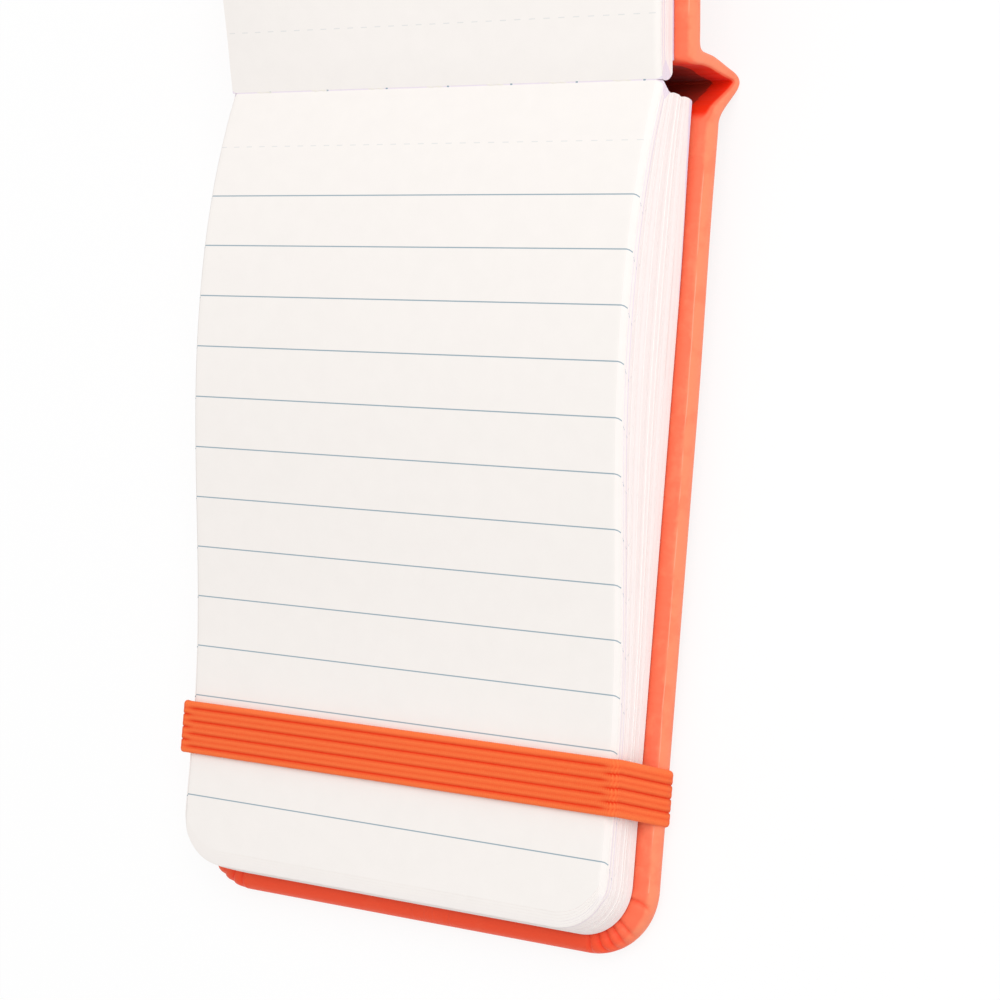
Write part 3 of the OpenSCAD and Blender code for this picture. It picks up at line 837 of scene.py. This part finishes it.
def band_half():
    """Middle line of half the band, in X and Z, from its glued end to the leaves' middle."""
    band, case, leaves = settings("band"), settings("case"), settings("leaves")
    lift = band.band_t / 2 + 0.05 * MM
    corner_lift = band.band_t / 2 + 0.25 * MM
    bend = 0.3 * MM + band.band_t / 2
    edge_r = case.cover_t / 2
    slit = case.cover_w / 2 - band.slit_in
    edge = Vector((case.cover_w / 2 - edge_r, -edge_r))
    leaf = Vector((leaves.leaf_w / 2, leaves.nip_h))
    gap = leaf - edge
    pull = degrees(atan2(gap.y, gap.x) - acos((edge_r + lift - corner_lift) / gap.length))
    under = -case.cover_t - lift
    return (
        [Vector((slit - band.tab_l, -lift))]
        + arc_points(Vector((slit - bend, -lift - bend)), bend, 90, 0, 4)
        + arc_points(Vector((slit + bend, under + bend)), bend, 180, 270, 4)
        + arc_points(edge, edge_r + lift, -90, pull, 10)
        + arc_points(leaf, corner_lift, pull, 90, 8)
        + [Vector((0, leaves.nip_h + corner_lift))]
    )


def walk(points, fine, coarse, seen_above):
    """Points at about equal steps along a line, finer where it is seen, with the sideways direction at each."""
    found = []
    for a, b in zip(points, points[1:]):
        step = fine if max(a.y, b.y) > seen_above else coarse
        cells = max(round((b - a).length / step), 1)
        found += [a.lerp(b, n / cells) for n in range(cells)]
    found.append(points[-1])
    ways = []
    for i in range(len(found)):
        run = found[min(i + 1, len(found) - 1)] - found[max(i - 1, 0)]
        ways.append(Vector((run.y, -run.x)).normalized())
    return found, ways


CORD_STATIONS = [0, 0.16, 0.5, 0.84]  # points across each rubber core, closest at its sides


class JOURNAL_OT_band(bpy.types.Operator):
    """Builds the ribbed elastic band, braided over its rubber cores"""

    bl_idname = "journal.band"
    bl_label = "Elastic band"

    def execute(self, context):
        band, leaves, case = settings("band"), settings("leaves"), settings("case")
        half = band_half()
        line = half + [Vector((-p.x, p.y)) for p in reversed(half[:-1])]
        path, ways = walk(line, band.strand / 3, 0.7 * MM, -case.cover_t)
        columns = [(n + t) / band.cords for n in range(band.cords) for t in CORD_STATIONS] + [1]
        bm = lattice_box(len(columns) - 1, len(path) - 1, 2)
        crease = bm.verts.layers.float.new("crease")
        runs = [0]
        for a, b in zip(path, path[1:]):
            runs.append(runs[-1] + (b - a).length)
        slit = case.cover_w / 2 - band.slit_in
        fall = leaves.nip_h + case.cover_t
        for v in bm.verts:
            i, j, k = (round(c) for c in v.co)
            at, across = path[j], columns[i]
            turns = 2 * pi * runs[j] / band.strand
            # Over the page the cores lie in pairs, and past its edge each pairs with its other neighbour
            over_page = smoothstep(leaves.leaf_w / 2 + 0.3 * MM, leaves.leaf_w / 2 - 2.2 * MM, abs(at.x))
            groove = fine = 0
            for n in range(1, band.cords):
                off = (across - n / band.cords) * band.band_w
                tooth = 0.5 + 0.5 * cos(turns + off / (0.16 * MM))
                near = exp(-((off / (band.groove_w * (0.6 + 1.2 * tooth))) ** 2))
                deep = over_page if n % 2 else 1 - over_page
                groove += deep * near
                fine += (1 - deep) * near * (0.25 + 0.75 * tooth)
            edge = min(across, 1 - across) * band.band_w
            crown = sqrt(min(edge / (0.5 * MM), 1)) if edge > 0 else 0
            strand = cos(turns + (0.5 * pi if int(across * band.cords) % 2 else 0))
            thick = band.band_t / 2 * (0.55 + 0.45 * crown)
            thick += -band.groove_d * groove - 0.09 * MM * fine + 0.035 * MM * strand * crown
            level = k - 1
            at = at + ways[j] * thick * level
            slanted = path[j].y < 0 and abs(path[j].x) <= slit + band.band_t
            share = 1 if slanted else min(max((leaves.nip_h - path[j].y) / fall, 0), 1)
            y = -leaves.nip_at - band.slant * share + (across - 0.5) * band.band_w
            if i in (0, len(columns) - 1):
                y += (0.05 * MM * strand + (0.12 * MM if k == 1 else 0)) * (-1 if i == 0 else 1)
            v.co = (at.x, y, at.y)
            # Painted shade in the grooves between the ribs and the shallower ones between strands, with the strands'
            # pattern on top
            v[crease] = min(max(0.95 * groove + 0.6 * fine + 0.1 - 0.16 * strand, 0), 1)
        made = keep(bm, "closing_elastic", "Braided polyester elastic", back_frame(), sharp=70)
        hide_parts("elastic_band")
        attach(made, BACK)
        return {"FINISHED"}


# Middle line of the lining, in the back half's Y and Z, in millimetres
LINING_LINE = [(0.62, 1.7), (0.62, 4.5), (0.64, 7.6), (0.9, 8.5), (2.2, 8.0), (3.6, 7.85), (4.7, 7.95)]
# Where it starts and ends its bend, as it turns from the lower backs to the front half
LINING_BEND = (0, 0.9, 8.3), (0, 2.4, 8.0)


class JOURNAL_OT_sewing(bpy.types.Operator):
    """Builds the stitches in the gutter and the frayed lining on the backs of the gatherings"""

    bl_idname = "journal.sewing"
    bl_label = "Sewing and lining"

    def execute(self, context):
        sewing, leaves = settings("thread"), settings("leaves")
        count = floor((leaves.leaf_w - sewing.stitch_l) / sewing.stitch_pitch)
        bm = bmesh.new()
        bmesh.ops.create_cone(
            bm, cap_ends=True, segments=12, radius1=1, radius2=1, depth=1, matrix=Matrix.Translation((0, 0, 0.5))
        )
        long = [e for e in bm.edges if abs(e.verts[0].co.z - e.verts[1].co.z) > 0.5]
        bmesh.ops.subdivide_edges(bm, edges=long, cuts=59)
        for v in bm.verts:
            along, angle = v.co.z, atan2(v.co.y, v.co.x)
            ply = 1 + 0.16 * cos(2 * angle - along * sewing.stitch_l * 2 * pi / (1.9 * MM))
            r = sewing.thread_d / 2 * ply * sqrt(max(1 - (2 * along - 1) ** 8, 0.04))
            sink = 0.14 * MM + 0.4 * MM * (2 * along - 1) ** 4
            v.co = ((along - 0.5) * sewing.stitch_l, leaves.gutter_y + r * cos(angle),
                    leaves.gutter_h - sink + r * sin(angle))
        stitch = list(bm.verts) + list(bm.edges) + list(bm.faces)
        for n in range(1, count + 1):
            copy = bmesh.ops.duplicate(bm, geom=stitch)["geom"]
            shift = (ceil(n / 2) * (1 if n % 2 else -1)) * sewing.stitch_pitch
            bmesh.ops.translate(bm, vec=(shift, 0, 0), verts=[g for g in copy if isinstance(g, bmesh.types.BMVert)])
        made = keep(bm, "gutter_stitches", "Bleached linen thread", back_frame(), sharp=80)
        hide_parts("sewing_thread")
        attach(made, BACK)

        path = [p * MM for p in through(LINING_LINE, 4)]
        cols = 60
        bm = lattice_box(cols, len(path) - 1, 1)
        for v in bm.verts:
            i, j, k = (round(c) for c in v.co)
            run = path[min(j + 1, len(path) - 1)] - path[max(j - 1, 0)]
            way = Vector((run.y, -run.x)).normalized()
            frayed = 0.35 * MM * noise.noise(Vector((i * 0.9, j * 0.7, 0))) if i in (0, cols) else 0
            at = path[j] + way * (k - 0.5) * sewing.lining_t
            v.co = ((i / cols - 0.5) * sewing.lining_w + frayed, at.x, at.y)
        made = keep(bm, "spine_lining_strip", "Crepe lining paper", back_frame())
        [back_frame() @ (Vector(p) * MM) for p in LINING_BEND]
        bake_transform(made)
        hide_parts("spine_lining")
        return {"FINISHED"}


class JOURNAL_OT_boards(bpy.types.Operator):
    """Gives the cover boards their finish"""

    bl_idname = "journal.boards"
    bl_label = "Boards"

    def execute(self, context):
        for node_name in ("back_cover_board", "front_cover_board"):
            finishes = frame["nodes"][node_name].data.materials
            finishes.clear()
            finishes.append(bpy.data.materials["Grey board"])
        return {"FINISHED"}


class JOURNAL_OT_finishes(bpy.types.Operator):
    """Makes the materials"""

    bl_idname = "journal.finishes"
    bl_label = "Finishes"

    def execute(self, context):
        leatherette()
        ruled_paper()
        braided_elastic()
        plain_fibrous("Grey board", settings("case").board, 0.6, 0.05)
        plain_fibrous("Lavender endpaper", settings("leaves").flyleaf, 0.4, 0.02)
        plain_fibrous("Crepe lining paper", settings("thread").lining, 0.5, 0.05)
        plain_fibrous("Bleached linen thread", settings("thread").linen, 0.12, 0.03)
        return {"FINISHED"}


# The camera in the back half's frame: its right, up and back directions and its place, by columns
CAMERA = Matrix((
    (0.83596, -0.06234, 0.54523, 0.24936),
    (0.07918, 0.99683, -0.00742, -0.07165),
    (-0.54304, 0.04937, 0.83825, 0.36407),
    (0, 0, 0, 1),
))


FLOOR_GLOW = 0.85  # the share of the floor that is white to the camera by itself; the rest takes the shadow
WORLD_LIGHT = 0.66
KEY_SIZE, KEY_WATTS, KEY_PLACE = 0.8, 6.4, (0.5, 0.3, 1.0)  # the place is in metres from the object


class JOURNAL_OT_stage(bpy.types.Operator):
    """Sets the camera, the pale floor and the soft light"""

    bl_idname = "journal.stage"
    bl_label = "Stage"

    def execute(self, context):
        scene = context.scene
        scene.view_settings.view_transform = "Standard"
        eye = bpy.data.cameras.new("Camera")
        eye.lens, eye.sensor_width, eye.clip_start = 90, 36, 0.01
        camera = bpy.data.objects.new("Camera", eye)
        camera.matrix_world = back_frame() @ CAMERA
        scene.collection.objects.link(camera)
        scene.camera = camera

        node = new_material("Matt white sweep")
        ray = node("LightPath").node.outputs
        seen = ray["Is Camera Ray"]
        for kind in ("Is Glossy Ray", "Is Transmission Ray"):
            seen = node("Math", [seen, ray[kind]], operation="MAXIMUM")
        matt = node("BsdfDiffuse", {"Color": linear("#ffffff")})
        glow = node("Emission", {"Color": linear("#ffffff"), "Strength": 1.0})
        share = node("Math", [seen, FLOOR_GLOW], operation="MULTIPLY")
        pale = node("MixShader", [share, matt, glow])
        node("OutputMaterial", {"Surface": pale})
        bm = bmesh.new()
        bmesh.ops.create_grid(bm, x_segments=1, y_segments=1, size=3)
        keep(bm, "floor", "Matt white sweep")

        world = bpy.data.worlds.new("White studio")
        world.use_nodes = True
        backdrop = world.node_tree.nodes["Background"]
        backdrop.inputs["Color"].default_value = linear("#ffffff")
        backdrop.inputs["Strength"].default_value = WORLD_LIGHT
        scene.world = world
        light = bpy.data.lights.new("Key", "AREA")
        light.size, light.energy = KEY_SIZE, KEY_WATTS
        lamp = bpy.data.objects.new("Key", light)
        lamp.location = KEY_PLACE
        lamp.rotation_euler = (-lamp.location).to_track_quat("-Z", "Y").to_euler()
        scene.collection.objects.link(lamp)
        return {"FINISHED"}


OPERATORS = (
    JOURNAL_OT_stage, JOURNAL_OT_finishes, JOURNAL_OT_case, JOURNAL_OT_leaves, JOURNAL_OT_band,
    JOURNAL_OT_sewing, JOURNAL_OT_boards,
)
GROUPS = {"leaves": LeafSettings, "case": CaseSettings, "band": BandSettings, "thread": ThreadSettings}


class JOURNAL_PT_panel(bpy.types.Panel):
    """Lists the journal's pieces"""

    bl_label = "Pocket journal"
    bl_space_type = "VIEW_3D"
    bl_region_type = "UI"
    bl_category = "Journal"

    def draw(self, context):
        for operator in OPERATORS:
            self.layout.operator(operator.bl_idname)
        for group in GROUPS:
            data = settings(group)
            box = self.layout.box()
            for name in data.bl_rna.properties.keys():
                if name not in {"rna_type", "name"}:
                    box.prop(data, name)


def register():
    for group, kind in GROUPS.items():
        bpy.utils.register_class(kind)
        setattr(bpy.types.Scene, "journal_" + group, PointerProperty(type=kind))
    for kind in (*OPERATORS, JOURNAL_PT_panel):
        bpy.utils.register_class(kind)


def unregister():
    for kind in (JOURNAL_PT_panel, *reversed(OPERATORS)):
        bpy.utils.unregister_class(kind)
    for group, kind in GROUPS.items():
        delattr(bpy.types.Scene, "journal_" + group)
        bpy.utils.unregister_class(kind)


def main():
    register()
    for operator in OPERATORS:
        group, name = operator.bl_idname.split(".")
        getattr(getattr(bpy.ops, group), name)()
    bpy.context.view_layer.update()


if __name__ == "__main__":
    main()
